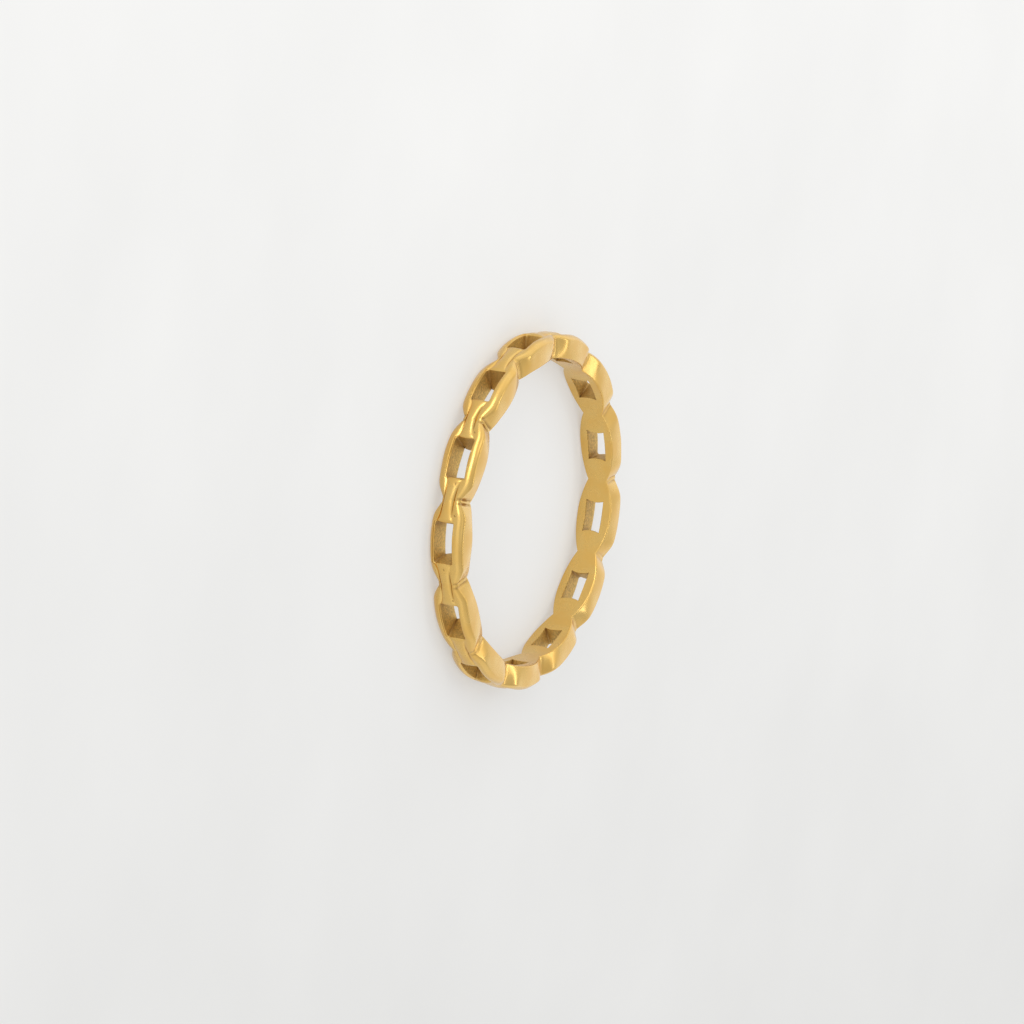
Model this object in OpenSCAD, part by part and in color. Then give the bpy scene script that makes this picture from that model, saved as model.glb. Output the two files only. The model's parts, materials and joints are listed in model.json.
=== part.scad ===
// Chain link ring: one cast band of box links fused end to end, lying on its side.
// Millimetres. The ring's axis is +Z, and its lowest edge lies at z = 0.

/* [Ring] */
// Inside diameter, which sets the finger size
inner_d = 17.3; // [15:0.1:21]
// Number of links round the band
link_count = 13; // [11:1:15]
// Radial thickness from the finger side to the top of the rails
wall = 1.4; // [1.1:0.05:1.8]

/* [Links] */
// Width of a link across its middle
link_w = 2.16; // [1.8:0.02:2.6]
// Width of the band where two links meet, at the finger side
waist_w = 1.16; // [0.9:0.02:1.5]
// How far each side has fallen in where its shoulder starts
side_crown = 0.07; // [0.04:0.01:0.12]
// Distance from a link's middle to the start of its shoulder
shoulder_at = 1.2; // [0.9:0.05:1.5]
// Radius of the curve that a link's top follows along the band
crown_r = 5.6; // [4.5:0.1:8]

/* [Rails] */
// Radius of a rail's rounded top
rail_r = 0.33; // [0.26:0.01:0.38]
// How far a rail's rounding would stand past the link's side, which trims it
rail_trim = 0.02; // [0.01:0.01:0.04]

/* [Windows] */
// Width of a window across the band
window_w = 1.1; // [0.7:0.02:1.2]
// Length of a window's straight sides at the finger side
window_l = 1.86; // [1.3:0.02:2.1]

/* [Necks] */
// Width of the neck that joins two links, under the bar
neck_w = 1.08; // [0.9:0.02:1.2]
// Radius of the neck's domed top
neck_r = 0.7; // [0.62:0.01:1]
// How far the neck's top stays below the top of the rails
neck_drop = 0.2; // [0.1:0.01:0.35]

/* [Bars] */
// Width of the bar over a junction, at its narrowest
bar_w = 0.62; // [0.5:0.02:0.8]
// Width of the bar where it reaches a window
bar_end_w = 0.86; // [0.7:0.02:0.94]
// Radius of the bar's rounded top
bar_r = 0.45; // [0.4:0.01:0.6]
// How far the bar's top stays below the top of the rails
bar_drop = 0.03; // [0:0.01:0.15]

/* [Hidden] */
$fn = 96;

inner_r = inner_d / 2;
outer_r = inner_r + wall;
pitch = 360 / link_count;
// Cuts run past the faces that they open by this much
overcut = 1;

// The side's arc, and the point on it where the shoulder starts
side_r = (pow(shoulder_at, 2) + pow(side_crown, 2)) / (2 * side_crown);
start_w = link_w / 2 - side_crown;
start_dir = [shoulder_at / side_r, sqrt(1 - pow(shoulder_at / side_r, 2))];
// The shoulder's arc runs on smoothly from there to the corner of the waist
to_waist = [inner_r * tan(pitch / 2) - shoulder_at, waist_w / 2 - start_w];
shoulder_r = -(to_waist * to_waist) / (2 * to_waist * start_dir);
shoulder_c = [shoulder_at, start_w] - shoulder_r * start_dir;

// Half angle of a window, and half angle of the round end between two windows
window_a = asin(window_l / 2 / inner_r);
end_a = norm([pitch / 2 - window_a, atan(window_w / 2 / inner_r)]);

// The bar's concave side, as an arc through its waist and its two ends
bar_half_l = outer_r * tan(pitch / 2 - window_a);
bar_waist = (bar_end_w - bar_w) / 2;
bar_side_r = (pow(bar_half_l, 2) + pow(bar_waist, 2)) / (2 * bar_waist);

// Stands a flat outline up so that it runs outwards along +X through the band
module outwards() {
    translate([inner_r - overcut, 0, 0])
        rotate([90, 0, 90])
            linear_extrude(height = wall + 2 * overcut)
                children();
}

// Outline of a link seen from outside, with crowned sides and round shoulders
module link_outline() {
    intersection() {
        intersection_for(side = [1, -1])
            translate([0, side * (link_w / 2 - side_r)])
                circle(r = side_r, $fn = 720);
        square([2 * shoulder_at, 2 * link_w], center = true);
    }
    for (end = [0, 180])
        rotate(end)
            intersection() {
                intersection_for(side = [1, -1])
                    translate([shoulder_c.x, side * shoulder_c.y])
                        circle(r = shoulder_r, $fn = 360);
                translate([shoulder_at, -link_w])
                    square([2 * shoulder_r, 2 * link_w]);
            }
}

// Section of a link across the band, with a flat body and two round rails on top
module link_section() {
    translate([crown_r - wall - overcut, -link_w])
        square([wall + overcut - rail_r, 2 * link_w]);
    for (side = [1, -1])
        translate([crown_r - rail_r, side * (link_w / 2 + rail_trim - rail_r)])
            circle(r = rail_r);
}

// One link, whose top is crowned along the band so that it dips at both junctions
module link() {
    intersection() {
        translate([outer_r - crown_r, 0, 0])
            rotate([0, 0, -45])
                rotate_extrude(angle = 90, $fn = 360)
                    link_section();
        outwards() link_outline();
    }
}

// Band with a domed top that makes the neck between each two links, under their bar
module necks() {
    rotate_extrude($fn = 720)
        intersection() {
            union() {
                translate([outer_r - neck_drop - neck_r, 0])
                    circle(r = neck_r);
                translate([inner_r - overcut / 2, -neck_w])
                    square([wall + overcut / 2 - neck_drop - neck_r, 2 * neck_w]);
            }
            translate([inner_r - overcut / 2, -neck_w / 2])
                square([wall + overcut, neck_w]);
        }
}

// Outline of a bar, which narrows at the junction and flares towards both windows
module bar_outline() {
    difference() {
        square([2 * bar_half_l, bar_end_w], center = true);
        for (side = [1, -1])
            translate([0, side * (bar_w / 2 + bar_side_r)])
                circle(r = bar_side_r, $fn = 360);
    }
}

// Bar with a rounded top that bridges the junction from window to window
module bar() {
    intersection() {
        rotate([0, 0, -pitch / 2])
            rotate_extrude(angle = pitch, $fn = 720) {
                translate([outer_r - bar_drop - bar_r, 0])
                    circle(r = bar_r);
                translate([inner_r - overcut, -bar_r])
                    square([wall + overcut - bar_drop - bar_r, 2 * bar_r]);
            }
        outwards() bar_outline();
    }
}

// Window through a link, with straight sides and two ends that bulge into it
module window() {
    difference() {
        rotate([0, 0, -pitch / 2])
            rotate_extrude(angle = pitch, $fn = 720)
                translate([inner_r - overcut, -window_w / 2])
                    square([wall + 2 * overcut, window_w]);
        for (side = [1, -1])
            rotate([0, 0, side * pitch / 2])
                rotate([0, 90, 0])
                    cylinder(h = outer_r + 2 * overcut, r1 = 0, r2 = (outer_r + 2 * overcut) * tan(end_a));
    }
}

module finger_hole() {
    translate([0, 0, -link_w])
        cylinder(h = 2 * link_w, r = inner_r, $fn = 720);
}

module chain_band() {
    color("#d8a94e")
        translate([0, 0, link_w / 2])
            difference() {
                union() {
                    necks();
                    for (i = [0 : link_count - 1])
                        rotate([0, 0, i * pitch]) {
                            link();
                            rotate([0, 0, pitch / 2]) bar();
                        }
                }
                for (i = [0 : link_count - 1])
                    rotate([0, 0, i * pitch]) window();
                finger_hole();
            }
}

chain_band();
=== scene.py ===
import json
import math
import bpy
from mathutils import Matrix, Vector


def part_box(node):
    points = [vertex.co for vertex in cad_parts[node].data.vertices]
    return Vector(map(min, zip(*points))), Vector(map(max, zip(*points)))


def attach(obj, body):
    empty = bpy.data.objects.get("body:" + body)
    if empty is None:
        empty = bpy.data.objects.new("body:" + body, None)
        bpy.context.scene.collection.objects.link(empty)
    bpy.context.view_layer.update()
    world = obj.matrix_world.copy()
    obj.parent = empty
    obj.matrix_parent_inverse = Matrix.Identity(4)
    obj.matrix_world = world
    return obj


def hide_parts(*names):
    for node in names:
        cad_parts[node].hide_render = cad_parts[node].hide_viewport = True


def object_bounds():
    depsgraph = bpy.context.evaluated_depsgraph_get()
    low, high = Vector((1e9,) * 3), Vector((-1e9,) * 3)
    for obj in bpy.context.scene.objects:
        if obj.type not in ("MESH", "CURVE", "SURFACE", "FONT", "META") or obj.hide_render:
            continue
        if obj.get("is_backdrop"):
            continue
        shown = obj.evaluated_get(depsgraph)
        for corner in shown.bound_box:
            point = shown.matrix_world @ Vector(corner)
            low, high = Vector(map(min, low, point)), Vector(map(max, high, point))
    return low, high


bl_info = {
    "name": "Chain Link Ring",
    "version": (1, 0, 0),
    "blender": (4, 5, 0),
    "location": "3D View > Sidebar > Chain Ring",
    "description": "Builds a cast band of box links in gold, on a pale floor in soft light",
    "category": "Add Mesh",
}

import bpy
import numpy as np
from mathutils import Matrix, Vector

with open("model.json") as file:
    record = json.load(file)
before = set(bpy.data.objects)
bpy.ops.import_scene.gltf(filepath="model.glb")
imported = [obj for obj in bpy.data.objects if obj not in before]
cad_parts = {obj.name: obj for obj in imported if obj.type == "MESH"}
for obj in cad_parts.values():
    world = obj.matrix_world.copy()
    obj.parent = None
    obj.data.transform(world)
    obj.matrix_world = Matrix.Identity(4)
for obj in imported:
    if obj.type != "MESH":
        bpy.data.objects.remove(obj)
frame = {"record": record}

MM = 0.001
NODE = "chain_band"
BODY = "root"
PIECE = "chain_band_gold"
CAD_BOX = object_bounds()
NODE_LOW, NODE_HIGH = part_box(NODE)
BORE = next(m for m in frame["record"]["mounts"] if m["name"] == "finger_hole")

# How many steps the mesh takes along and across each part of a link
WINDOW_STEPS = 26
BAR_STEPS = 19
ROUND_STEPS = 11
RAIL_STEPS = 5
BAR_ROWS = 18
SIDE_STEPS = 7
FACE_EDGE_STEPS = 4
FACE_STEPS = 6
EDGE_STEPS = 4
WALL_STEPS = 8
LINK_STEPS = WINDOW_STEPS + 2 * BAR_STEPS
# Places where the parts of a cross-section meet, counted along its loop of points
TOP_LOW_EDGE = ROUND_STEPS + RAIL_STEPS
TOP_HIGH_EDGE = TOP_LOW_EDGE + BAR_ROWS
FACE_START = TOP_HIGH_EDGE + TOP_LOW_EDGE + SIDE_STEPS
FACE_HIGH_EDGE = FACE_START + FACE_EDGE_STEPS + FACE_STEPS
FACE_LOW_EDGE = FACE_HIGH_EDGE + BAR_ROWS
LOOP_POINTS = FACE_LOW_EDGE + FACE_STEPS + FACE_EDGE_STEPS + SIDE_STEPS
# How the steps crowd: to a window's ends, to a bar's end and its junction, to a rail's edge
WINDOW_CROWD = 1.3
BAR_CROWD = (1.6, 2.6)
RAIL_CROWD = 0.5
# How fast such crowding dies away from an end
CROWD_FALL = 5.0
# How much of a bar's rows is spaced evenly; the rest crowds towards its creases
EVEN_ROWS = 0.45
# Faces that meet at more than this angle keep a sharp edge
SHARP_ANGLE = math.radians(50)

# A link's outline: how much its sides fall in, where its shoulders start on the way from the
# middle to the junction, and how sharply the shoulders and the finger side bend
SIDE_FALL = 0.1
SHOULDER_START = 0.44
SHOULDER_BEND = 1.8
FACE_BEND = 2.2
# Where, on the same way, the lift of the rails' dip starts, then the narrowing of the rails
# and of the finger side's edges
LIFT_START = 0.5
RAIL_NARROW_START = 0.6
FACE_NARROW_START = 0.5
# How much less than their crown the rails dip at a junction
SHOULDER_LIFT = 0.1 * MM
# How much closer to the middle a neck's upper side lies, on the outer side
UPPER_CUT = 0.04 * MM
# How much narrower a link's side is at the finger side
FACE_DRAFT = 0.01 * MM
# How much the rails' slopes and the finger side's edges narrow by the junction, as a share
RAIL_NARROWING = 0.4
FACE_NARROWING = 0.6
# Least width of a rail, and the largest share of it that its outer slope takes
RAIL_LEAST = 0.08 * MM
SLOPE_MOST = 0.93

# How far a rail's outer slope turns down over its whole length, in degrees
SLOPE_TURN = 26
# Its further turns beside the crest, past the bead and at the side, each with its start and end
SLOPE_BENDS = ((18, 0.0, 0.1), (18, 0.28, 0.45), (28, 0.72, 1.0))
# How far it turns back where a groove leaves a ridge, in degrees, and the ridge's place and breadth
RIDGE_TURN = 28
RIDGE = (0.6, 0.1)
SLOPE_SAMPLES = 400

# How sharply a rail bends down to the window and to a crease, and a bar narrows from its end
RAIL_BEND = 1.6
CREASE_BEND = 2.5
BAR_BEND = 3.6
# Where, from a window's end to the junction, a rail's bend fades and a crease gets deep
RAIL_FADE = (0.2, 0.8)
CREASE_RISE = (0.0, 0.8)
# How round a bar's top is across, up to 1 for a half ellipse
BAR_ROUND = 0.93
# Place and breadth of a bar's lip, and the depth and length of the fall past it, at the window
LIP = (0.1 * MM, 0.05 * MM)
END_FALL = 0.05 * MM
END_REACH = 0.2 * MM
# How far each end bulges into its window at the outer side
MOUTH_BULGE = 0.04 * MM
# Radius of the small bevel where a window's walls meet the finger side
FOOT_BEVEL = 0.03 * MM

# Place and breadth of the two side grooves at a junction, measured from it
SEAM = (0.14 * MM, 0.065 * MM)
# Height of the ridge between them, as a share of their depth, and its breadth
SEAM_RIDGE = 0.3
SEAM_RIDGE_SPREAD = 0.045 * MM
# How deep a side groove also cuts down into the rails, as a share of its depth
SEAM_DROP = 0.5

# The windows and bars lie this much nearer to the band's lower edge
WINDOW_OFFSET = 0.03 * MM
# What sets single links apart, in millimetres, by their number from the link on +X: how far
# they slide round the band, how far their window lies up, how much their upper side is ground
LINK_MARKS = {
    "slid": {0: -0.08, 1: -0.14, 2: -0.14, 3: -0.08},
    "window": {2: -0.16},
    "ground": {2: 0.12, 3: 0.03, 9: 0.08},
}
# How far bars lie to the upper edge, in millimetres, by the number of the link after them
BAR_MARKS = {1: -0.1, 2: -0.12, 3: -0.05}
# Width of single necks as a share, by the number of the link after them
NECK_MARKS = {4: 1.18}
# Depth of the faint groove along single links' rails as a share, then that of all others
GROOVE_MARKS = {0: 1.0, 1: 1.0, 2: 0.8, 12: 0.7}
OTHER_GROOVES = 0.25
# Where a groove fades along its link, how much of it fades, and its depth at the junctions
GROOVE_FADE = (-0.4, 0.2)
GROOVE_LOSS = 0.7
JUNCTION_GROOVE = 0.4
# Depth of single seams as a share, by the number of the link after them, then the middle depth
# of all others and its limits
SEAM_MARKS = {1: 1.0, 2: 1.0, 3: 0.8}
OTHER_SEAMS = 0.3
SEAM_LIMITS = (0.05, 0.6)
# Spread of the small random differences between links and between junctions
SPREAD = {
    "rail lift": 0.006 * MM,
    "window width": 0.015,
    "window shift": 0.012 * MM,
    "bar width": 0.07,
    "bar shift": 0.015 * MM,
    "neck width": 0.02,
    "crease depth": 0.1,
    "seam depth": 0.2,
}
LINK_SEED = 13
# Small casting pits: the link, then the place along and across its outer side, in millimetres
PITS = ((1, 1.48, 0.1), (1, -1.6, 0.42), (2, -1.62, 0.34), (2, 1.52, -0.1), (3, -1.5, 0.3))
PIT_DEPTH = 0.05 * MM
# Number and length of the waves that hand polishing leaves, and the range of their lengths
WAVES = 24
WAVE_LENGTH = 1.7 * MM
WAVE_RANGE = (0.7, 1.5)
WAVE_SEED = 29

# How dark the painted shade makes the creases and the points beside them, and where on a bar it
# sets in
CREASE_PAINTED_SHADE = (0.9, 0.4)
CREASE_PAINTED_SHADE_RISE = (0.25, 0.7)
# How dark the painted shade makes a window's two ends, the end at the lower angle darker than the
# other as light falls, their corners and the pits
END_PAINTED_SHADE = (0.75, 0.3)
CORNER_PAINTED_SHADE = 1.3
PIT_PAINTED_SHADE = 2.0
# Where the painted shade sets in on the way from a window's middle: its ends, then corners along
# and across
END_PAINTED_SHADE_START = 0.55
CORNER_PAINTED_SHADE_START = (0.82, 0.6)
# Colour of the painted shade, and how much of the gold it covers
PAINTED_SHADE_COLOUR = (0.36, 0.2, 0.055, 1.0)
PAINTED_SHADE_COVER = 0.75

# Weight of the polish's clear coat, and how much less metallic the as-cast walls look
COAT = 0.35
CAST_METAL_LOSS = 0.35
# Tones as factors: the polish's warmer clouds, then the darkest and lightest grain of the walls
WARM_TONE = (1.0, 0.94, 0.8)
DARK_GRAIN = 0.68
LIGHT_GRAIN = 1.3
# Ranges of noise that give the clouds and grain their tones, and the polish its roughness
TONE_RANGE = (0.35, 0.65)
ROUGH_RANGE = (0.3, 0.7)
# The polish's smallest and largest roughness, as factors
ROUGH_FACTORS = (0.8, 1.25)
# Scales of the polish's clouds and of the grain, in patches a metre
CLOUD_SCALE = 900.0
GRAIN_SCALE = 9000.0
# Shares of the grain in the polish's height, and of the polish in the bump
POLISH_GRAIN = 0.06
POLISH_BUMP = 0.1

# Half width of the floor
FLOOR_REACH = 3.0
# Distance from the ring over which the floor's painted light changes, both ways: lighter towards
# the picture's top, darker towards its foot
FLOOR_PAINTED_LIGHT_REACH = 60 * MM
# The floor's darkest and lightest tone as factors, for its painted light and its mottle, and the
# mottle's share and scale
FLOOR_TONES = (0.8, 1.1)
MOTTLE = 0.3
MOTTLE_SCALE = 60.0
# Direction of the key light round the ring's axis and above the floor
KEY_AZIMUTH = math.radians(10)
KEY_ELEVATION = math.radians(15)
# Lengths and widths of the lights, how far the strip leans to the camera, and their distance
KEY_SIZE = (500 * MM, 115 * MM)
STRIP_SIZE = (450 * MM, 70 * MM)
STRIP_LEAN = 0.1
LIGHT_DISTANCE = 500 * MM
LIGHT_COLOUR = (1.0, 0.985, 0.95)
WORLD_COLOUR = (1.0, 0.995, 0.985, 1.0)
# Factors on the light from all round: from the picture's foot and its top
FOOT_AND_TOP = (0.88, 1.12)
# Heights between which it changes towards overhead, and its factors below and above them
OVERHEAD = (0.35, 0.9)
OVERHEAD_FACTORS = (1.17, 0.75)


class BandSizes(bpy.types.PropertyGroup):
    """Sizes of the band and its links"""

    inner_radius: bpy.props.FloatProperty(
        name="Inner radius",
        description="Radius of the finger side",
        default=BORE["dims"]["r_mm"] * MM,
        unit="LENGTH",
    )
    outer_radius: bpy.props.FloatProperty(
        name="Outer radius",
        description="Radius of the rails' tops in the middle of a link",
        default=NODE_HIGH.x,
        unit="LENGTH",
    )
    width: bpy.props.FloatProperty(
        name="Width",
        description="Width of the band across the middle of a link",
        default=NODE_HIGH.z - NODE_LOW.z,
        unit="LENGTH",
    )
    links: bpy.props.IntProperty(
        name="Links", description="Number of links round the band", default=13, min=8, max=20
    )
    crown_radius: bpy.props.FloatProperty(
        name="Crown radius",
        description="Radius of the curve that a link's top follows along the band",
        default=5.6 * MM,
        unit="LENGTH",
    )
    neck_width: bpy.props.FloatProperty(
        name="Neck width",
        description="Width of the band at a junction, on its outer side, as its lower side sets it",
        default=1.26 * MM,
        unit="LENGTH",
    )
    side_bulge: bpy.props.FloatProperty(
        name="Side bulge",
        description="How far the sides swell between their two edges",
        default=0.025 * MM,
        unit="LENGTH",
    )
    waist_width: bpy.props.FloatProperty(
        name="Waist width",
        description="Width of the band at a junction, on its finger side",
        default=1.15 * MM,
        unit="LENGTH",
    )
    rail_round_width: bpy.props.FloatProperty(
        name="Rail slope, across",
        description="How far a rail's outer slope reaches over its top",
        default=0.4 * MM,
        unit="LENGTH",
    )
    rail_round_height: bpy.props.FloatProperty(
        name="Rail slope, down",
        description="How far a rail's outer slope reaches down its side",
        default=0.31 * MM,
        unit="LENGTH",
    )
    rail_fall: bpy.props.FloatProperty(
        name="Rail fall",
        description="How far a rail's round top falls from its crest to the window's edge",
        default=0.055 * MM,
        unit="LENGTH",
    )
    rail_lean: bpy.props.FloatProperty(
        name="Rail lean",
        description="How much less the upper rail falls than the lower one, as a share",
        default=0.6,
        subtype="FACTOR",
        min=0.0,
        max=1.0,
    )
    face_edge: bpy.props.FloatProperty(
        name="Finger edge rounding",
        description="Radius of the edges of the finger side in the middle of a link",
        default=0.09 * MM,
        unit="LENGTH",
    )
    window_length: bpy.props.FloatProperty(
        name="Window length, finger side",
        description="Length of a window's straight sides at the finger side",
        default=1.86 * MM,
        unit="LENGTH",
    )
    window_mouth: bpy.props.FloatProperty(
        name="Window length, outer side",
        description="Length of a window at its outer side, with its rounded edges",
        default=2.48 * MM,
        unit="LENGTH",
    )
    window_width: bpy.props.FloatProperty(
        name="Window width",
        description="Width of a window between its walls, halfway through the band",
        default=1.06 * MM,
        unit="LENGTH",
    )
    window_flare: bpy.props.FloatProperty(
        name="Window flare",
        description="How much wider a window is at its outer side than at the finger side",
        default=0.04 * MM,
        unit="LENGTH",
    )
    window_bulge: bpy.props.FloatProperty(
        name="Window end bulge, finger side",
        description="How far each end bulges into its window at the finger side",
        default=0.1 * MM,
        unit="LENGTH",
    )
    window_edge: bpy.props.FloatProperty(
        name="Window edge rounding",
        description="Radius of a window's outer edges",
        default=0.055 * MM,
        unit="LENGTH",
    )
    window_corner: bpy.props.FloatProperty(
        name="Window corner radius",
        description="Radius of a window's corners at its outer side",
        default=0.13 * MM,
        unit="LENGTH",
    )
    bar_width: bpy.props.FloatProperty(
        name="Bar width",
        description="Width of a bar between its creases, at the junction",
        default=0.66 * MM,
        unit="LENGTH",
    )
    bar_drop: bpy.props.FloatProperty(
        name="Bar drop",
        description="How far a bar's top stays below the top of the rails",
        default=0.01 * MM,
        unit="LENGTH",
    )
    crease_depth: bpy.props.FloatProperty(
        name="Crease depth",
        description="Depth of the creases beside a bar at the junction, below the rails there",
        default=0.05 * MM,
        unit="LENGTH",
    )
    seam_depth: bpy.props.FloatProperty(
        name="Seam depth",
        description="Depth of the two grooves that run down the sides at a junction",
        default=0.08 * MM,
        unit="LENGTH",
    )
    bar_lip: bpy.props.FloatProperty(
        name="Bar lip",
        description="Height of the raised lip at each end of a bar",
        default=0.022 * MM,
        unit="LENGTH",
    )
    waviness: bpy.props.FloatProperty(
        name="Waviness",
        description="How far the hand-polished surface waves in and out",
        default=0.009 * MM,
        unit="LENGTH",
    )
    irregularity: bpy.props.FloatProperty(
        name="Irregularity",
        description="How much the cast links differ from one another, as a share",
        default=1.0,
        subtype="FACTOR",
        min=0.0,
        max=2.0,
    )


class GoldFinish(bpy.types.PropertyGroup):
    """Colours of the gold and how it is polished"""

    polished: bpy.props.FloatVectorProperty(
        name="Polished gold",
        description="Colour of the polished faces",
        subtype="COLOR",
        size=4,
        default=(0.75, 0.495, 0.15, 1.0),
        min=0.0,
        max=1.0,
    )
    as_cast: bpy.props.FloatVectorProperty(
        name="As-cast gold",
        description="Colour of the matte walls inside the windows",
        subtype="COLOR",
        size=4,
        default=(0.675, 0.46, 0.14, 1.0),
        min=0.0,
        max=1.0,
    )
    roughness: bpy.props.FloatProperty(
        name="Polish roughness",
        description="Roughness of the polished faces",
        subtype="FACTOR",
        default=0.27,
        min=0.0,
        max=1.0,
    )
    cast_roughness: bpy.props.FloatProperty(
        name="Cast roughness",
        description="Roughness of the walls inside the windows",
        subtype="FACTOR",
        default=0.55,
        min=0.0,
        max=1.0,
    )


class StudioSettings(bpy.types.PropertyGroup):
    """Camera, floor and lights"""

    azimuth: bpy.props.FloatProperty(
        name="Camera azimuth",
        description="Direction of the camera round the ring's axis",
        default=math.radians(129.89),
        subtype="ANGLE",
    )
    elevation: bpy.props.FloatProperty(
        name="Camera elevation",
        description="Angle of the camera above the floor",
        default=math.radians(25.47),
        subtype="ANGLE",
    )
    roll: bpy.props.FloatProperty(
        name="Camera roll",
        description="Turn of the camera about its own axis, so that the ring looks upright",
        default=math.radians(99.16),
        subtype="ANGLE",
    )
    distance: bpy.props.FloatProperty(
        name="Camera distance",
        description="Distance from the camera to the ring's middle along its view",
        default=423.5 * MM,
        unit="LENGTH",
    )
    aim_right: bpy.props.FloatProperty(
        name="Aim right",
        description="How far the ring's middle lies right of the picture's middle",
        default=0.913 * MM,
        unit="LENGTH",
    )
    aim_up: bpy.props.FloatProperty(
        name="Aim up",
        description="How far the ring's middle lies above the picture's middle",
        default=0.099 * MM,
        unit="LENGTH",
    )
    field_of_view: bpy.props.FloatProperty(
        name="Field of view",
        description="Angle that the picture covers from side to side",
        default=math.radians(7.708),
        subtype="ANGLE",
    )
    floor_colour: bpy.props.FloatVectorProperty(
        name="Floor colour",
        description="Colour of the pale floor",
        subtype="COLOR",
        size=4,
        default=(0.86, 0.862, 0.856, 1.0),
        min=0.0,
        max=1.0,
    )
    floor_glow: bpy.props.FloatProperty(
        name="Floor glow",
        description="Share of the floor's brightness that comes from below, as on a light table",
        subtype="FACTOR",
        default=0.45,
        min=0.0,
        max=1.0,
    )
    ambient: bpy.props.FloatProperty(
        name="Ambient light",
        description="Strength of the light that comes from all round",
        default=0.93,
        min=0.0,
    )
    key_power: bpy.props.FloatProperty(
        name="Key light",
        description="Power of the long low light at the side of the camera",
        default=0.6,
        min=0.0,
        unit="POWER",
    )
    strip_power: bpy.props.FloatProperty(
        name="Strip light",
        description="Power of the narrow light above, which draws a line along the links' corners",
        default=0.24,
        min=0.0,
        unit="POWER",
    )


def smooth(x, low, high):
    """0 up to low, 1 from high, and a soft step between them."""
    t = np.clip((x - low) / (high - low), 0.0, 1.0)
    return t * t * (3.0 - 2.0 * t)


def swell(x, at, spread):
    """1 at a place, and a soft fall to 0 on both sides of it."""
    return np.exp(-(((x - at) / spread) ** 2))


def marked(marks, places):
    """Lengths by number, 0 for the numbers that a table of marks leaves out."""
    return np.array([marks.get(int(place), 0.0) for place in places]) * MM


def with_marks(shares, marks):
    """The shares with those that a table of marks gives put in their places."""
    for place, share in marks.items():
        shares[place % len(shares)] = share
    return shares


def rail_slope(groove):
    """Shares across and down along a rail's outer slope, with so much of its groove."""
    s = np.linspace(0.0, 1.0, SLOPE_SAMPLES)
    tilt = SLOPE_TURN * s
    for turn, start, end in SLOPE_BENDS:
        tilt = tilt + turn * smooth(s, start, end)
    ridge = -RIDGE_TURN * swell(s, *RIDGE)
    # The steps follow the slope's bends and its length in equal parts
    bend = np.concatenate([[0.0], np.cumsum(np.abs(np.diff(tilt + ridge)))])
    at = np.interp(np.linspace(0.0, 2.0, ROUND_STEPS + 1), bend / bend[-1] + s, s)
    tilt += groove * ridge
    over = np.cumsum(np.cos(np.radians(tilt)))
    down = np.cumsum(np.sin(np.radians(tilt)))
    return np.interp(at, s, over / over[-1]), np.interp(at, s, down / down[-1])


def eased(steps, start_dense, end_dense):
    """Numbers from 0 to 1, closer together towards an end the more dense it is."""
    t = np.linspace(0.0, 1.0, steps + 1)
    crowd = start_dense * np.exp(-t * CROWD_FALL) + end_dense * np.exp(-(1.0 - t) * CROWD_FALL)
    weight = 1.0 / (1.0 + crowd)
    gone = np.concatenate([[0.0], np.cumsum((weight[1:] + weight[:-1]) / 2.0)])
    return gone / gone[-1]


def outer_share(u):
    """How far the outline stands out past the neck, at share u of the way to the junction."""
    return (1.0 - SIDE_FALL * u**2) * (1.0 - smooth(u, SHOULDER_START, 1.0) ** SHOULDER_BEND)


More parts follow.
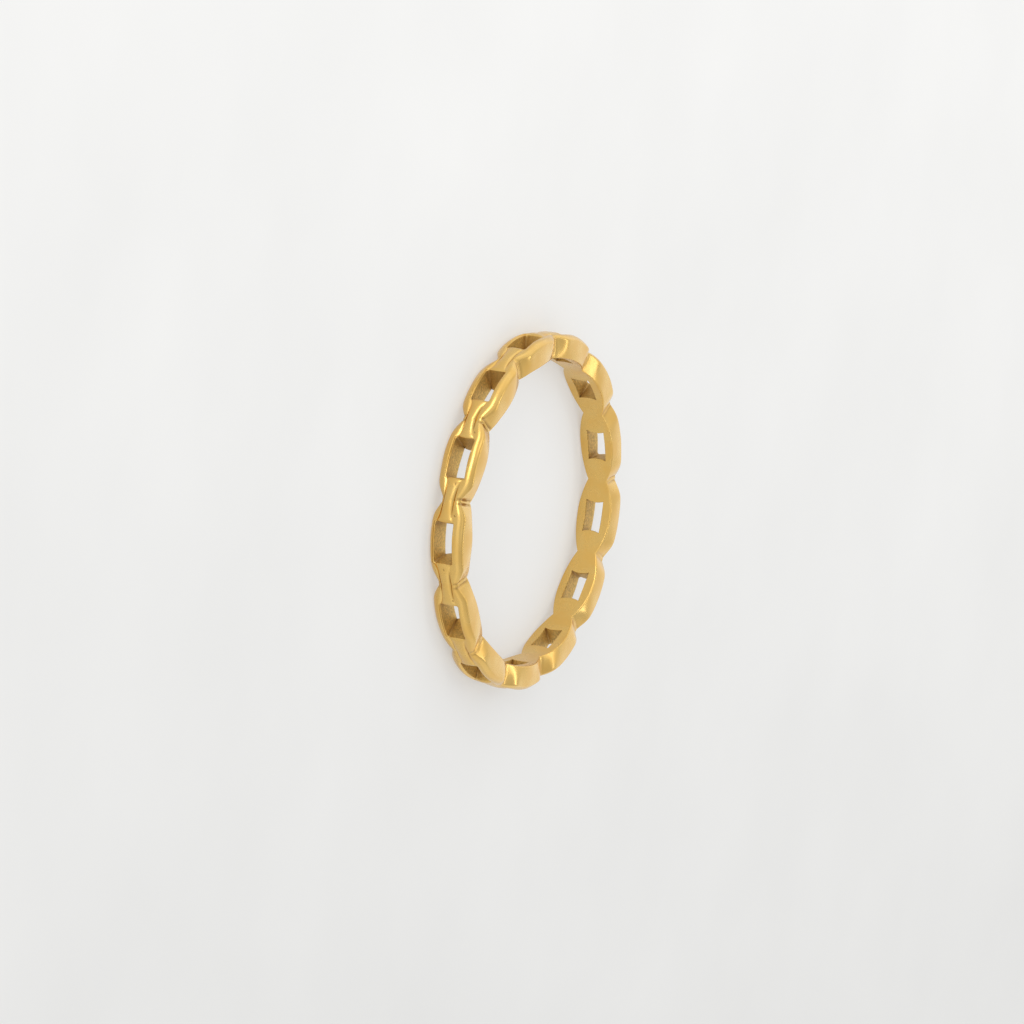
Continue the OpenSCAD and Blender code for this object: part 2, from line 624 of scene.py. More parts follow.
class Columns:
    """The cross-sections round the band, each with its link and its nearest junction."""

    def __init__(self, sizes):
        n = sizes.links
        rng = np.random.default_rng(LINK_SEED)
        self.sizes = sizes
        self.half = math.pi / n
        self.face_corner = math.asin(sizes.window_length / 2 / sizes.inner_radius)
        self.top_corner = sizes.window_mouth / 2 / sizes.outer_radius
        self.link = np.repeat(np.arange(n), LINK_STEPS)
        self.step = np.tile(np.arange(LINK_STEPS), n)
        self.centre = self.link * 2.0 * self.half
        # Angles from the link's middle, on the outer side and on the finger side
        self.top = np.tile(self.angles(self.top_corner), n)
        self.face = np.tile(self.angles(self.face_corner), n)
        self.junction = np.where(self.top < 0, self.link, (self.link + 1) % n)
        # Shares of the way from the link's middle to the junction
        self.u = np.abs(self.top) / self.half
        self.face_u = np.abs(self.face) / self.half
        self.to_junction = sizes.outer_radius * (self.half - np.abs(self.top))
        # Share of the way from the window's end to the junction, 0 beside the window
        past_end = np.abs(self.top) - self.top_corner
        self.v = np.clip(past_end / (self.half - self.top_corner), 0.0, 1.0)

        def vary(what):
            return rng.normal(0.0, SPREAD[what] * sizes.irregularity, n)

        # Marks of one link fade before its junctions, where they meet the next link's
        on_link = 1.0 - self.u**4
        self.rail_lift = vary("rail lift")[self.link] * (1.0 - self.u**2)
        self.window_scale = 1.0 + vary("window width")[self.link]
        self.window_shift = vary("window shift")[self.link] - WINDOW_OFFSET
        self.window_shift += marked(LINK_MARKS["window"], self.link)
        self.ground = marked(LINK_MARKS["ground"], self.link) * on_link
        self.bar_scale = 1.0 + vary("bar width")[self.junction]
        self.bar_shift = vary("bar shift")[self.junction] - WINDOW_OFFSET
        self.bar_shift += marked(BAR_MARKS, self.junction)
        self.neck_scale = with_marks(1.0 + vary("neck width"), NECK_MARKS)[self.junction]
        grooves = with_marks(np.full(n, OTHER_GROOVES), GROOVE_MARKS)[self.link]
        fading = grooves * (1.0 - GROOVE_LOSS * smooth(self.top / self.half, *GROOVE_FADE))
        self.groove = JUNCTION_GROOVE + (fading - JUNCTION_GROOVE) * on_link
        self.crease_scale = 1.0 + vary("crease depth")[self.junction]
        seams = np.clip(OTHER_SEAMS + vary("seam depth"), *SEAM_LIMITS)
        self.seam_scale = with_marks(seams, SEAM_MARKS)[self.junction]

    def angles(self, corner):
        """Angles of one link's columns, with the window's ends at the given corner."""
        in_window = np.linspace(-1.0, 1.0, WINDOW_STEPS + 1)
        in_window = np.sin(in_window * WINDOW_CROWD) / math.sin(WINDOW_CROWD) * corner
        in_bar = corner + (self.half - corner) * eased(BAR_STEPS, *BAR_CROWD)
        return np.concatenate([-in_bar[::-1], in_window[1:-1], in_bar])[:-1]

    def slid(self, angle):
        """Moves places round the band by each link's own shift, smoothly from link to link."""
        at = np.arange(-1, self.sizes.links + 2)
        shift = marked(LINK_MARKS["slid"], at % self.sizes.links)
        amount = np.interp(angle, at * 2.0 * self.half, shift) * self.sizes.irregularity
        return angle + amount / self.sizes.outer_radius

    def crown(self, angle):
        """Radius of a link's top at an angle from its middle."""
        s = self.sizes
        c = s.outer_radius - s.crown_radius
        curve = c * np.cos(angle) + np.sqrt(s.crown_radius**2 - (c * np.sin(angle)) ** 2)
        return curve + SHOULDER_LIFT * smooth(np.abs(angle) / self.half, LIFT_START, 1.0)

    def outer_half(self, side):
        """Half width of the band at the top of one of its sides."""
        s = self.sizes
        neck = s.neck_width / 2 * self.neck_scale - UPPER_CUT * (side > 0)
        link = (s.width - s.side_bulge) / 2 - self.ground * (side > 0)
        return neck + (link - neck) * outer_share(self.u)

    def face_half(self, side):
        """Half width of the band at the finger side, before its edges are rounded."""
        s = self.sizes
        waist = s.waist_width / 2 * self.neck_scale
        link = (s.width - s.side_bulge) / 2 - FACE_DRAFT - self.ground * (side > 0)
        # This outline runs into a V at the junction
        return waist + (link - waist) * (1.0 - self.face_u**FACE_BEND)

    def edge_half(self):
        """Half width between the rails: from window side to window side, then over the bar."""
        s = self.sizes
        window = (s.window_width + s.window_flare) / 2 * self.window_scale + s.window_edge
        to_end = s.outer_radius * (self.top_corner - np.abs(self.top))
        past = np.clip(1.0 - to_end / s.window_corner, 0.0, 1.0)
        window = window - s.window_corner * (1.0 - np.sqrt(1.0 - past**2))
        junction = s.bar_width / 2 * self.bar_scale
        return junction + (window - junction) * (1.0 - self.v) ** BAR_BEND

    def side_groove(self):
        """How deep in a side groove each column lies, from 0 to 1."""
        return swell(self.to_junction, *SEAM)

    def seam(self):
        """Depth of the side grooves and of the ridge between them, below 0 on the ridge."""
        ridge = SEAM_RIDGE * swell(self.to_junction, 0.0, SEAM_RIDGE_SPREAD)
        return self.sizes.seam_depth * self.seam_scale * (self.side_groove() - ridge)


def stacked(angle, parts, side):
    """Points of each column as angle, height across and radius, from parts of one side."""
    z, r = (np.concatenate(values, 1) for values in zip(*parts))
    return np.stack([np.broadcast_to(angle[:, None], z.shape), z * side, r], -1)


def top_points(cols, side):
    """One rail's top, from its outer edge to its inner edge."""
    s = cols.sizes
    outline = cols.outer_half(side)[:, None]
    shift = cols.window_shift * (1.0 - cols.v) + cols.bar_shift * cols.v
    edge = np.minimum((cols.edge_half() + side * shift)[:, None], outline - RAIL_LEAST)
    narrow = 1.0 - RAIL_NARROWING * smooth(cols.u, RAIL_NARROW_START, 1.0)[:, None]
    slope_w = np.minimum(s.rail_round_width * narrow, (outline - edge) * SLOPE_MOST)
    slope_h = s.rail_round_height * narrow
    crown = (cols.crown(cols.top) + cols.rail_lift)[:, None]

    groove = cols.groove[:, None]
    # The slope's points run up from the side and leave the crest to the rail
    slopes = zip(rail_slope(0.0), rail_slope(1.0))
    over, down = ((plain * (1.0 - groove) + cut * groove)[:, :0:-1] for plain, cut in slopes)
    seam = cols.seam()[:, None] * down**2
    z_slope = outline - slope_w * (1.0 - over) - seam
    r_slope = crown - slope_h * down - SEAM_DROP * seam

    t = eased(RAIL_STEPS, 0.0, RAIL_CROWD)[None, :]
    z_rail = (outline - slope_w) * (1.0 - t) + edge * t
    fall = s.rail_fall * (1.0 - s.rail_lean * (side > 0)) * (1.0 - smooth(cols.v, *RAIL_FADE))
    crease = s.crease_depth * cols.crease_scale * smooth(cols.v, *CREASE_RISE)
    r_rail = crown - fall[:, None] * t**RAIL_BEND - crease[:, None] * t**CREASE_BEND
    return stacked(cols.top, [(z_slope, r_slope), (z_rail, r_rail)], side)


def across(start, end, share):
    """Points between two edge lines, at the given shares of the way."""
    t = share[None, :, None]
    return start[:, None, :] * (1.0 - t) + end[:, None, :] * t


def bulged(cols, points, share, corner, reach):
    """Moves the rows between two windows so that each end bulges into its window."""
    arch = reach * (1.0 - (2.0 * share[None, :] - 1.0) ** 2)
    away = cols.half - np.abs(points[:, :, 0])
    points[:, :, 0] -= np.sign(cols.top)[:, None] * arch * away / (cols.half - corner)
    return points


def bar_points(cols, low, high):
    """A bar's rounded top from crease to crease; columns beside a window don't use it."""
    s = cols.sizes
    even = np.linspace(0.0, 1.0, BAR_ROWS + 1)[1:-1]
    crowded = (1.0 - np.cos(math.pi * even)) / 2
    share = (1.0 - EVEN_ROWS) * crowded + EVEN_ROWS * even
    points = across(low, high, share)
    off = 2.0 * share[None, :] - 1.0
    drop = (1.0 - np.sqrt(1.0 - BAR_ROUND * off**2)) / (1.0 - math.sqrt(1.0 - BAR_ROUND))
    from_end = cols.v * s.outer_radius * (cols.half - cols.top_corner)
    lip = s.bar_lip * swell(from_end, *LIP)
    fall = END_FALL * (1.0 - smooth(from_end, 0.0, END_REACH)) ** 2
    crest = (s.outer_radius - s.bar_drop + lip - fall)[:, None]
    points[:, :, 2] += (crest - points[:, :, 2]) * (1.0 - drop)
    return bulged(cols, points, share, cols.top_corner, MOUTH_BULGE / s.outer_radius)


def face_points(cols, side):
    """One side of the finger face, from its rounded outer edge to the window's edge."""
    s = cols.sizes
    outline = cols.face_half(side)[:, None]
    narrow = 1.0 - FACE_NARROWING * smooth(cols.face_u, FACE_NARROW_START, 1.0)[:, None]
    round_off = s.face_edge * narrow
    window = (s.window_width - s.window_flare) / 2 * cols.window_scale + FOOT_BEVEL
    edge = (window + (s.bar_width / 2 - window) * smooth(cols.v, 0.0, 1.0))[:, None]
    shift = side * (cols.window_shift * (1.0 - cols.face_u**2))[:, None]
    theta = np.linspace(0.0, math.pi / 2, FACE_EDGE_STEPS + 1)[None, :-1]
    z_edge = outline - round_off * (1.0 - np.cos(theta))
    r_edge = s.inner_radius + round_off * (1.0 - np.sin(theta))
    t = np.linspace(0.0, 1.0, FACE_STEPS + 1)[None, :]
    z_face = (outline - round_off) * (1.0 - t) + (edge + shift) * t
    r_face = np.full_like(z_face, s.inner_radius)
    return stacked(cols.face, [(z_edge, r_edge), (z_face, r_face)], side)


def side_points(cols, start, end, side):
    """The swollen side between two edge lines, with side grooves that fade to its end."""
    share = np.linspace(0.0, 1.0, SIDE_STEPS + 1)[1:-1]
    points = across(start, end, share)
    bulge = cols.sizes.side_bulge * np.sin(math.pi * share)[None, :]
    points[:, :, 1] += side * (bulge - cols.seam()[:, None] * (1.0 - share**3)[None, :])
    return points


def section_points(cols):
    """Each cross-section as a loop: over the top, down a side, along the face and up again."""
    s = cols.sizes
    low, high = top_points(cols, -1.0), top_points(cols, 1.0)
    bar = bar_points(cols, low[:, -1], high[:, -1])
    face_low, face_high = face_points(cols, -1.0), face_points(cols, 1.0)
    share = np.linspace(0.0, 1.0, BAR_ROWS + 1)[1:-1]
    middle = across(face_high[:, -1], face_low[:, -1], share)
    middle = bulged(cols, middle, share, cols.face_corner, s.window_bulge / s.inner_radius)
    down = side_points(cols, high[:, 0], face_high[:, 0], 1.0)
    up = side_points(cols, face_low[:, 0], low[:, 0], -1.0)
    loop = [low, bar, high[:, ::-1], down, face_high, middle, face_low[:, ::-1], up]
    return np.concatenate(loop, 1)


def window_rim(link, on_top):
    """A window's edge once round, as pairs of column and place in the loop."""
    first = link * LINK_STEPS + BAR_STEPS
    last = first + WINDOW_STEPS
    low, high = (TOP_LOW_EDGE, TOP_HIGH_EDGE) if on_top else (FACE_LOW_EDGE, FACE_HIGH_EDGE)
    step = 1 if high > low else -1
    rim = [(column, high) for column in range(first, last)]
    rim += [(last, row) for row in range(high, low, -step)]
    rim += [(column, low) for column in range(last, first, -1)]
    rim += [(first, row) for row in range(low, high, step)]
    return rim


def drawn_in(rim, length, radius):
    """A window's rim drawn in towards its middle, by a length at its sides and its ends."""
    middle = rim.mean(0)[:2]
    reach = np.abs(rim[:, :2] - middle).max(0)
    inner = rim.copy()
    inset = np.array([length / radius, length]) / reach
    inner[:, :2] = middle + (rim[:, :2] - middle) * (1.0 - inset)
    return inner


def wall_points(cols, rim_top, rim_face):
    """The rows of a window's walls, from its rounded outer edge to its finger side's bevel."""
    s = cols.sizes
    wall_top = drawn_in(rim_top, s.window_edge, s.outer_radius)
    rows = []
    for theta in np.linspace(0.0, math.pi / 2, EDGE_STEPS + 1)[1:]:
        row = rim_top + (wall_top - rim_top) * math.sin(theta)
        row[:, 2] = rim_top[:, 2] - s.window_edge * (1.0 - math.cos(theta))
        rows.append(row)
    wall_foot = drawn_in(rim_face, FOOT_BEVEL, s.inner_radius)
    wall_foot[:, 2] += FOOT_BEVEL
    for share in np.linspace(0.0, 1.0, WALL_STEPS + 1)[1:]:
        rows.append(rows[EDGE_STEPS - 1] * (1.0 - share) + wall_foot * share)
    # One more row, halfway round the bevel
    half = rim_face + (wall_foot - rim_face) * math.sqrt(0.5)
    half[:, 2] = rim_face[:, 2] + FOOT_BEVEL * (1.0 - math.sqrt(0.5))
    return np.stack(rows + [half])


def placed(cols, points, centre):
    """Turns angle, height across and radius into places in the ring's frame."""
    angle = cols.slid(points[..., 0] + centre)
    x = points[..., 2] * np.cos(angle)
    y = points[..., 2] * np.sin(angle)
    return np.stack([x, y, points[..., 1] + cols.sizes.width / 2], -1)


def in_windows(cols, first):
    """Which points (first = 1) or faces (first = 0) of the loops lie inside the windows."""
    rows = np.arange(LOOP_POINTS)
    column = (cols.step >= BAR_STEPS + first) & (cols.step < BAR_STEPS + WINDOW_STEPS)
    top = (rows >= TOP_LOW_EDGE + first) & (rows < TOP_HIGH_EDGE)
    face = (rows >= FACE_HIGH_EDGE + first) & (rows < FACE_LOW_EDGE)
    return column[:, None] & (top | face)[None, :]


def loop_painted_shade(cols):
    """Painted shade at the loops' points: how dark they are in the creases beside the bars and in
    the side grooves.
    """
    rows = np.arange(LOOP_POINTS)
    painted_shade = np.zeros((len(cols.top), LOOP_POINTS))
    # Painted shade along the creases beside the bars, rising towards the junction
    for crease in (TOP_LOW_EDGE, TOP_HIGH_EDGE):
        for away, dark in enumerate(CREASE_PAINTED_SHADE):
            painted_shade[:, [crease - away, crease + away]] = dark
    painted_shade *= smooth(cols.v, *CREASE_PAINTED_SHADE_RISE)[:, None]
    on_side = (rows < ROUND_STEPS) | (rows > LOOP_POINTS - SIDE_STEPS)
    on_side |= (rows > FACE_START - SIDE_STEPS - ROUND_STEPS) & (rows < FACE_START)
    # Painted shade in the side grooves at the junctions
    groove = np.clip(cols.seam_scale * cols.side_groove(), 0.0, 1.0)
    painted_shade[:, on_side] = groove[:, None]
    return painted_shade


def wall_painted_shade(cols, walls):
    """Painted shade on a window's walls: how dark they are at both ends, most of all in the corners
    under the bars.
    """
    # Painted shade: the end at the lower angle is darker than the other end
    end = np.where(walls[:, :, 0] < 0, *END_PAINTED_SHADE)
    along = np.abs(walls[:, :, 0])
    over = np.abs(walls[:, :, 1] - walls[:, :, 1].mean(1)[:, None])
    corner = smooth(along / along.max(1)[:, None], CORNER_PAINTED_SHADE_START[0], 1.0)
    corner = corner * smooth(over / over.max(1)[:, None], CORNER_PAINTED_SHADE_START[1], 1.0)
    end = end * smooth(along / cols.face_corner, END_PAINTED_SHADE_START, 1.0)
    return np.maximum(end, CORNER_PAINTED_SHADE * corner)


def sink_pits(cols, vertices, push, painted_shade):
    """Sinks the point nearest to each casting pit and darkens it with painted shade."""
    radius = cols.sizes.outer_radius
    for link, along, over in PITS:
        angle = cols.slid(link * 2.0 * cols.half + along * MM / radius)
        height = cols.sizes.width / 2 + over * MM
        place = np.array([radius * math.cos(angle), radius * math.sin(angle), height])
        nearest = np.linalg.norm(vertices - place, axis=1).argmin()
        push[nearest] -= PIT_DEPTH
        painted_shade[nearest] = PIT_PAINTED_SHADE


def band_mesh(cols):
    """Vertices, faces and masks of the whole band, one closed surface."""
    loops = section_points(cols)
    kept = ~in_windows(cols, 1)
    count = int(kept.sum())
    number = np.full(kept.shape, -1)
    number[kept] = np.arange(count)
    vertices = [placed(cols, loops, cols.centre[:, None])[kept]]
    cast = [np.zeros(count)]
    # Painted shade in the creases and side grooves, kept as a point attribute
    crevice_shade = [loop_painted_shade(cols)[kept]]
    ahead = np.roll(number, -1, 0)
    quads = np.stack([number, ahead, np.roll(ahead, -1, 1), np.roll(number, -1, 1)], -1)
    faces = [quads[~in_windows(cols, 0)]]

    for link in range(cols.sizes.links):
        rims = [window_rim(link, True), window_rim(link, False)]
        top, face = (np.array([loops[place] for place in rim]) for rim in rims)
        first, last = (np.array([number[place] for place in rim]) for rim in rims)
        walls = wall_points(cols, top, face)
        vertices.append(placed(cols, walls, link * 2.0 * cols.half).reshape(-1, 3))
        # The as-cast finish sets in over the rounded outer edge
        depth, ring = walls.shape[:2]
        mask = np.minimum(np.arange(depth) / EDGE_STEPS, 1.0)[:, None] * np.ones(ring)
        cast.append(mask.ravel())
        # The walls' painted shade, faded in over the rounded outer edge
        crevice_shade.append((wall_painted_shade(cols, walls) * mask).ravel())
        own = count + np.arange(depth * ring).reshape(depth, ring)
        count += depth * ring
        grid = np.vstack([first, own, last])
        after = np.roll(grid, -1, 1)
        faces.append(np.stack([grid[:-1], after[:-1], after[1:], grid[1:]], -1).reshape(-1, 4))

    vertices, faces = np.concatenate(vertices), np.concatenate(faces)
    masks = {"cast": np.concatenate(cast), "crevice_shade": np.concatenate(crevice_shade)}
    push = cols.sizes.waviness * ripple(vertices)
    sink_pits(cols, vertices, push, masks["crevice_shade"])
    vertices = vertices + normals(vertices, faces) * push[:, None]
    return vertices, faces, masks


def normals(vertices, faces):
    """Unit normals at the vertices of a mesh of quads."""
    corner = vertices[faces]
    crossed = np.cross(corner[:, 2] - corner[:, 0], corner[:, 3] - corner[:, 1])
    total = np.zeros_like(vertices)
    for place in range(4):
        np.add.at(total, faces[:, place], crossed)
    return total / np.linalg.norm(total, axis=1)[:, None]


def ripple(points):
    """A soft random field over space, made of plane waves."""
    rng = np.random.default_rng(WAVE_SEED)
    direction = rng.normal(size=(WAVES, 3))
    direction /= np.linalg.norm(direction, axis=1)[:, None]
    lengths = WAVE_LENGTH * rng.uniform(*WAVE_RANGE, WAVES)
    phase = rng.uniform(0.0, 2.0 * math.pi, WAVES)
    total = np.zeros(len(points))
    for turn, length, start in zip(direction, lengths, phase):
        total += np.sin(points @ turn * (2.0 * math.pi / length) + start)
    return total / math.sqrt(WAVES)


def new_mesh_object(name, vertices, faces, masks):
    """A smooth-shaded object from arrays, with its masks as point attributes."""
    mesh = bpy.data.meshes.new(name)
    mesh.from_pydata(vertices.tolist(), [], faces.tolist())
    mesh.validate()
    for label, values in masks.items():
        attribute = mesh.attributes.new(label, "FLOAT", "POINT")
        attribute.data.foreach_set("value", values.astype(np.float32))
    mesh.shade_smooth()
    mesh.set_sharp_from_angle(angle=SHARP_ANGLE)
    made = bpy.data.objects.new(name, mesh)
    bpy.context.scene.collection.objects.link(made)
    return made


def feed(tree, node, inputs):
    """Links those inputs of a node that come from a socket, and sets the others."""
    for label, value in inputs.items():
        if isinstance(value, bpy.types.NodeSocket):
            tree.links.new(value, node.inputs[label])
        else:
            node.inputs[label].default_value = value


def add_node(tree, kind, inputs=None, **settings):
    """A node with its settings and its inputs."""
    node = tree.nodes.new(kind)
    for label, value in settings.items():
        setattr(node, label, value)
    feed(tree, node, inputs or {})
    return node


def noise(tree, place, scale, detail, roughness):
    """Soft procedural noise over the surface, around 0.5."""
    inputs = {"Vector": place, "Scale": scale, "Detail": detail, "Roughness": roughness}
    return add_node(tree, "ShaderNodeTexNoise", inputs).outputs["Fac"]


def scaled(tree, value, factor, offset):
    """A value times a factor plus an offset."""
    inputs = {0: value, 1: factor, 2: offset}
    return add_node(tree, "ShaderNodeMath", inputs, operation="MULTIPLY_ADD").outputs[0]


def ranged(tree, value, source, target=(0.0, 1.0), curve="LINEAR"):
    """A value moved from one range to another, and kept inside it."""
    inputs = {"Value": value, "From Min": source[0], "From Max": source[1]}
    inputs.update({"To Min": target[0], "To Max": target[1]})
    node = add_node(tree, "ShaderNodeMapRange", inputs, interpolation_type=curve)
    return node.outputs["Result"]


def mixed(tree, share, first, second):
    """The colour at a share of the way from the first to the second."""
    # A Mix node's sockets share their names, so those for colours go by number
    inputs = {"Factor": share, 6: first, 7: second}
    return add_node(tree, "ShaderNodeMix", inputs, data_type="RGBA").outputs[2]


def facing(tree, vector, direction):
    """How far a vector reaches in a direction."""
    inputs = {0: vector, 1: direction}
    node = add_node(tree, "ShaderNodeVectorMath", inputs, operation="DOT_PRODUCT")
    return node.outputs["Value"]


def toned(colour, factors):
    """A colour times one factor, or times one for each channel, and no brighter than white."""
    return [*np.minimum(np.array(colour[:3]) * factors, 1.0).tolist(), 1.0]


def new_material(name):
    """A material with its node tree and its shader."""
    mat = bpy.data.materials.new(name)
    mat.use_nodes = True
    return mat, mat.node_tree, mat.node_tree.nodes["Principled BSDF"]


def polish_group():
    """Soft unevenness that hand polishing leaves: slow clouds and fine grain, as one height."""
    group = bpy.data.node_groups.new("Polish", "ShaderNodeTree")
    kind = "NodeSocketFloat"
    for label, scale in (("Cloud scale", CLOUD_SCALE), ("Grain scale", GRAIN_SCALE)):
        socket = group.interface.new_socket(label, in_out="INPUT", socket_type=kind)
        socket.default_value = scale
    for label in ("Height", "Cloud"):
        group.interface.new_socket(label, in_out="OUTPUT", socket_type=kind)
    given, out = group.nodes.new("NodeGroupInput"), group.nodes.new("NodeGroupOutput")
    place = add_node(group, "ShaderNodeTexCoord").outputs["Object"]
    cloud = noise(group, place, given.outputs["Cloud scale"], detail=2.0, roughness=0.5)
    grain = noise(group, place, given.outputs["Grain scale"], detail=3.0, roughness=0.6)
    feed(group, out, {"Height": scaled(group, grain, POLISH_GRAIN, cloud), "Cloud": cloud})
    return group


def gold_material(finish):
    """Polished gold that turns matte and grainy on the as-cast walls, with painted shade that
    darkens the creases.
    """
    mat, tree, shader = new_material("Gold")
    polish = add_node(tree, "ShaderNodeGroup", node_tree=polish_group())
    cloud = polish.outputs["Cloud"]
    cast = add_node(tree, "ShaderNodeAttribute", attribute_name="cast").outputs["Fac"]
    crevice_shade = add_node(tree, "ShaderNodeAttribute", attribute_name="crevice_shade").outputs["Fac"]
    place = add_node(tree, "ShaderNodeTexCoord").outputs["Object"]
    grain = noise(tree, place, GRAIN_SCALE, detail=4.0, roughness=0.7)

    warmth = ranged(tree, cloud, TONE_RANGE)
    polished = mixed(tree, warmth, finish.polished, toned(finish.polished, WARM_TONE))
    speckle = ranged(tree, grain, TONE_RANGE)
    dark, light = (toned(finish.as_cast, factor) for factor in (DARK_GRAIN, LIGHT_GRAIN))
    metal = mixed(tree, cast, polished, mixed(tree, speckle, dark, light))
    # Painted shade: a dark brown mixed over the gold in the creases, side grooves, window ends and
    # pits
    shaded_metal = mixed(tree, scaled(tree, crevice_shade, PAINTED_SHADE_COVER, 0.0), metal, PAINTED_SHADE_COLOUR)

    limits = [finish.roughness * factor for factor in ROUGH_FACTORS]
    rough = ranged(tree, cloud, ROUGH_RANGE, limits)
    inputs = {"Factor": cast, "A": rough, "B": finish.cast_roughness}
    rough = add_node(tree, "ShaderNodeMix", inputs, data_type="FLOAT").outputs["Result"]

    cast_height = scaled(tree, grain, cast, 0.0)
    height = scaled(tree, polish.outputs["Height"], POLISH_BUMP, cast_height)
    inputs = {"Height": height, "Strength": 0.5, "Distance": 0.03 * MM}
    bump = add_node(tree, "ShaderNodeBump", inputs)
    inputs = {
        "Base Color": shaded_metal,
        "Metallic": scaled(tree, cast, -CAST_METAL_LOSS, 1.0),
        "Roughness": rough,
        "Coat Weight": scaled(tree, cast, -COAT, COAT),
        "Coat Roughness": 0.15,
        "Normal": bump.outputs["Normal"],
    }
    feed(tree, shader, inputs)
    return mat


def floor_material(colour, glow, along):
    """Pale matte board that also glows from below, with painted light that makes it lighter one
    way, and a faint mottle.
    """
    mat, tree, shader = new_material("Pale floor")
    place = add_node(tree, "ShaderNodeTexCoord").outputs["Object"]
    mottle = noise(tree, place, MOTTLE_SCALE, detail=3.0, roughness=0.5)
    # Painted light: the floor's tone rises towards the picture's top
    slope = ranged(tree, facing(tree, place, along), (-FLOOR_PAINTED_LIGHT_REACH, FLOOR_PAINTED_LIGHT_REACH))
    dark, light = (toned(colour, factor) for factor in FLOOR_TONES)
    tone = mixed(tree, scaled(tree, mottle, MOTTLE, slope), dark, light)
    inputs = {
        "Base Color": mixed(tree, glow, tone, (0.0, 0.0, 0.0, 1.0)),
        "Roughness": 0.85,
        "Specular IOR Level": 0.2,
        "Emission Color": tone,
        "Emission Strength": glow,
    }
    feed(tree, shader, inputs)
    return mat


class CHAINRING_OT_band(bpy.types.Operator):
    """Build the cast band of box links with its gold finish"""

    bl_idname = "chainring.band"
    bl_label = "Build the Band"

    def execute(self, context):
        sizes = context.scene.chain_ring_sizes
        vertices, faces, masks = band_mesh(Columns(sizes))
        band = new_mesh_object(PIECE, vertices, faces, masks)
        if len(band.data.polygons) != len(faces):
            raise RuntimeError("The band's mesh lost faces, so its sizes don't fit together")
        band.data.materials.append(gold_material(context.scene.chain_ring_finish))
        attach(band, BODY)
        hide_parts(NODE)
        return {"FINISHED"}


def camera_turn(studio):
    """The camera's rotation, from its place round the ring and its roll."""
    a, e = studio.azimuth, studio.elevation
    back = Vector((math.sin(a) * math.cos(e), -math.cos(a) * math.cos(e), math.sin(e)))
    level_right = Vector((math.cos(a), math.sin(a), 0.0))
    level_up = back.cross(level_right)
    right = level_right * math.cos(studio.roll) + level_up * math.sin(studio.roll)
    up = back.cross(right)
    return Matrix((right, up, back)).transposed()


def add_camera(studio, middle):
    """The camera, aimed past the ring's middle by the studio's two offsets."""
    turn = camera_turn(studio)
    data = bpy.data.cameras.new("Camera")
    data.sensor_fit = "HORIZONTAL"
    data.angle = studio.field_of_view
    data.clip_start = 0.01
    data.clip_end = 10.0
    camera = bpy.data.objects.new("Camera", data)
    offset = Vector((-studio.aim_right, -studio.aim_up, studio.distance))
    camera.matrix_world = Matrix.Translation(middle + turn @ offset) @ turn.to_4x4()
    bpy.context.scene.collection.objects.link(camera)
    bpy.context.scene.camera = camera
    return turn


def add_floor(studio, height, along):
    """The pale floor at a height, with painted light that makes it lighter along a direction."""
    mesh = bpy.data.meshes.new("floor")
    ways = ((-1, -1), (1, -1), (1, 1), (-1, 1))
    corners = [(x * FLOOR_REACH, y * FLOOR_REACH, height) for x, y in ways]
    mesh.from_pydata(corners, [], [(0, 1, 2, 3)])
    mesh.materials.append(floor_material(studio.floor_colour, studio.floor_glow, along))
    floor = bpy.data.objects.new("floor", mesh)
    bpy.context.scene.collection.objects.link(floor)
    return floor


def add_softbox(name, target, direction, size, power):
    """A rectangular area light that faces the target from a direction."""
    data = bpy.data.lights.new(name, "AREA")
    data.shape = "RECTANGLE"
    data.size, data.size_y = size
    data.energy = power
    data.color = LIGHT_COLOUR
    light = bpy.data.objects.new(name, data)
    direction = direction.normalized()
    light.location = target + direction * LIGHT_DISTANCE
    light.rotation_mode = "QUATERNION"
    light.rotation_quaternion = direction.to_track_quat("Z", "Y")
    bpy.context.scene.collection.objects.link(light)


def add_world(studio, up):
    """Soft light from all round, stronger from the picture's top and weaker from overhead."""
    world = bpy.data.worlds.new("Studio")
    world.use_nodes = True
    tree = world.node_tree
    direction = add_node(tree, "ShaderNodeTexCoord").outputs["Generated"]
    levels = [studio.ambient * factor for factor in FOOT_AND_TOP]
    level = ranged(tree, facing(tree, direction, up), (-1.0, 1.0), levels)
    height = add_node(tree, "ShaderNodeSeparateXYZ", {0: direction}).outputs["Z"]
    overhead = ranged(tree, height, OVERHEAD, OVERHEAD_FACTORS, "SMOOTHSTEP")
    strength = scaled(tree, level, overhead, 0.0)
    feed(tree, tree.nodes["Background"], {"Color": WORLD_COLOUR, "Strength": strength})
    bpy.context.scene.world = world


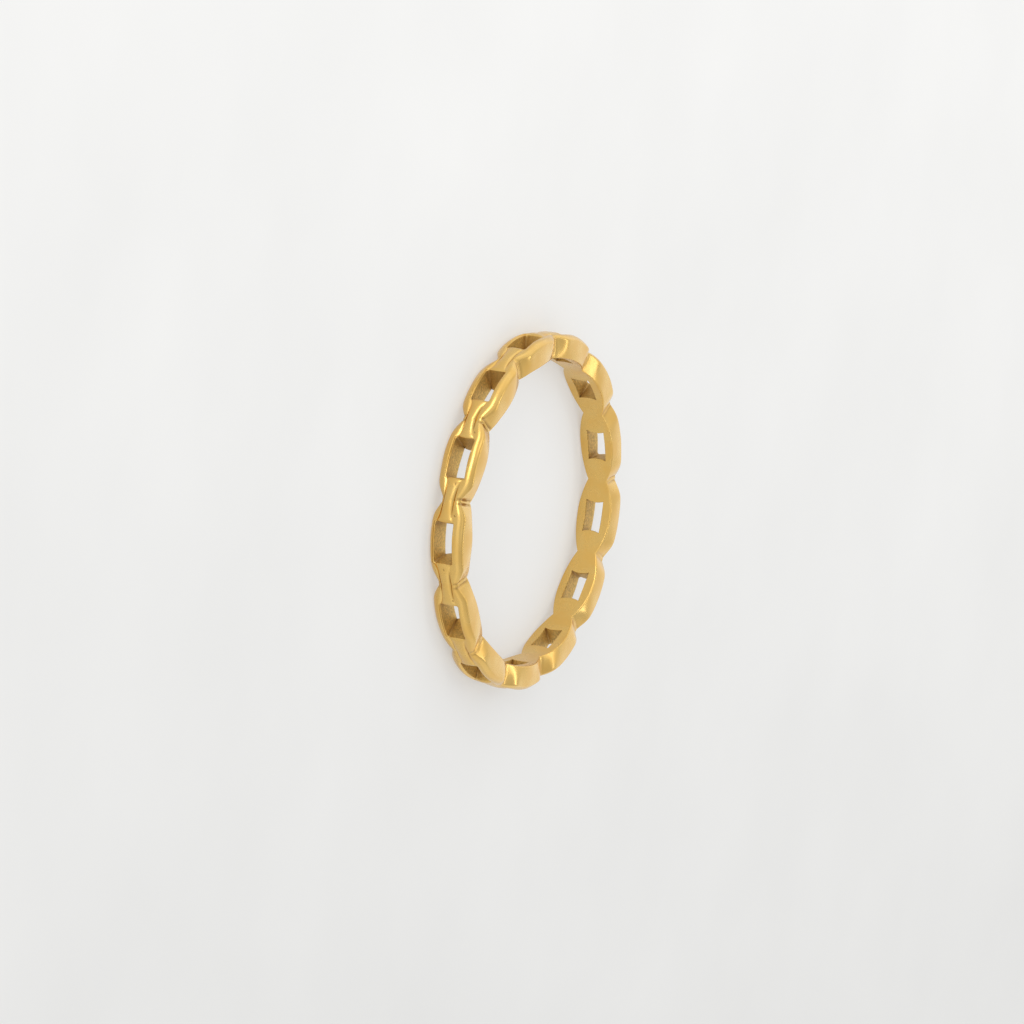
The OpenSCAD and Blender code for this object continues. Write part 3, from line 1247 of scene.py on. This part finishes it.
class CHAINRING_OT_stage(bpy.types.Operator):
    """Add the camera, the pale floor and the soft studio light"""

    bl_idname = "chainring.stage"
    bl_label = "Add the Stage"

    def execute(self, context):
        studio = context.scene.chain_ring_studio
        if PIECE not in bpy.data.objects:
            raise RuntimeError("Build the band before its stage")
        middle = Vector((0.0, 0.0, (CAD_BOX[0].z + CAD_BOX[1].z) / 2))
        turn = add_camera(studio, middle)
        right, up, back = (Vector(turn.col[i]) for i in range(3))

        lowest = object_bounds()[0].z
        # The floor's painted light rises towards the picture's top
        floor = add_floor(studio, lowest, Vector((up.x, up.y, 0.0)).normalized())
        floor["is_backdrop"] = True

        rise = math.tan(KEY_ELEVATION)
        low_side = Vector((math.cos(KEY_AZIMUTH), math.sin(KEY_AZIMUTH), rise))
        add_softbox("Key", middle, low_side, KEY_SIZE, studio.key_power)
        overhead = right + back * STRIP_LEAN
        add_softbox("Strip", middle, overhead, STRIP_SIZE, studio.strip_power)
        add_world(studio, up)
        context.scene.view_settings.view_transform = "Standard"
        return {"FINISHED"}


class CHAINRING_PT_panel(bpy.types.Panel):
    """Sizes, finish and stage of the chain link ring"""

    bl_idname = "CHAINRING_PT_panel"
    bl_label = "Chain Link Ring"
    bl_space_type = "VIEW_3D"
    bl_region_type = "UI"
    bl_category = "Chain Ring"

    def draw(self, context):
        scene = context.scene
        for operator, group in (
            (CHAINRING_OT_band.bl_idname, scene.chain_ring_sizes),
            (None, scene.chain_ring_finish),
            (CHAINRING_OT_stage.bl_idname, scene.chain_ring_studio),
        ):
            box = self.layout.box()
            if operator:
                box.operator(operator)
            for label in group.__annotations__:
                box.prop(group, label)


CLASSES = (
    BandSizes,
    GoldFinish,
    StudioSettings,
    CHAINRING_OT_band,
    CHAINRING_OT_stage,
    CHAINRING_PT_panel,
)


def register():
    for cls in CLASSES:
        bpy.utils.register_class(cls)
    bpy.types.Scene.chain_ring_sizes = bpy.props.PointerProperty(type=BandSizes)
    bpy.types.Scene.chain_ring_finish = bpy.props.PointerProperty(type=GoldFinish)
    bpy.types.Scene.chain_ring_studio = bpy.props.PointerProperty(type=StudioSettings)


def unregister():
    del bpy.types.Scene.chain_ring_studio
    del bpy.types.Scene.chain_ring_finish
    del bpy.types.Scene.chain_ring_sizes
    for cls in reversed(CLASSES):
        bpy.utils.unregister_class(cls)


def main():
    register()
    bpy.ops.chainring.band()
    bpy.ops.chainring.stage()


if __name__ == "__main__":
    main()
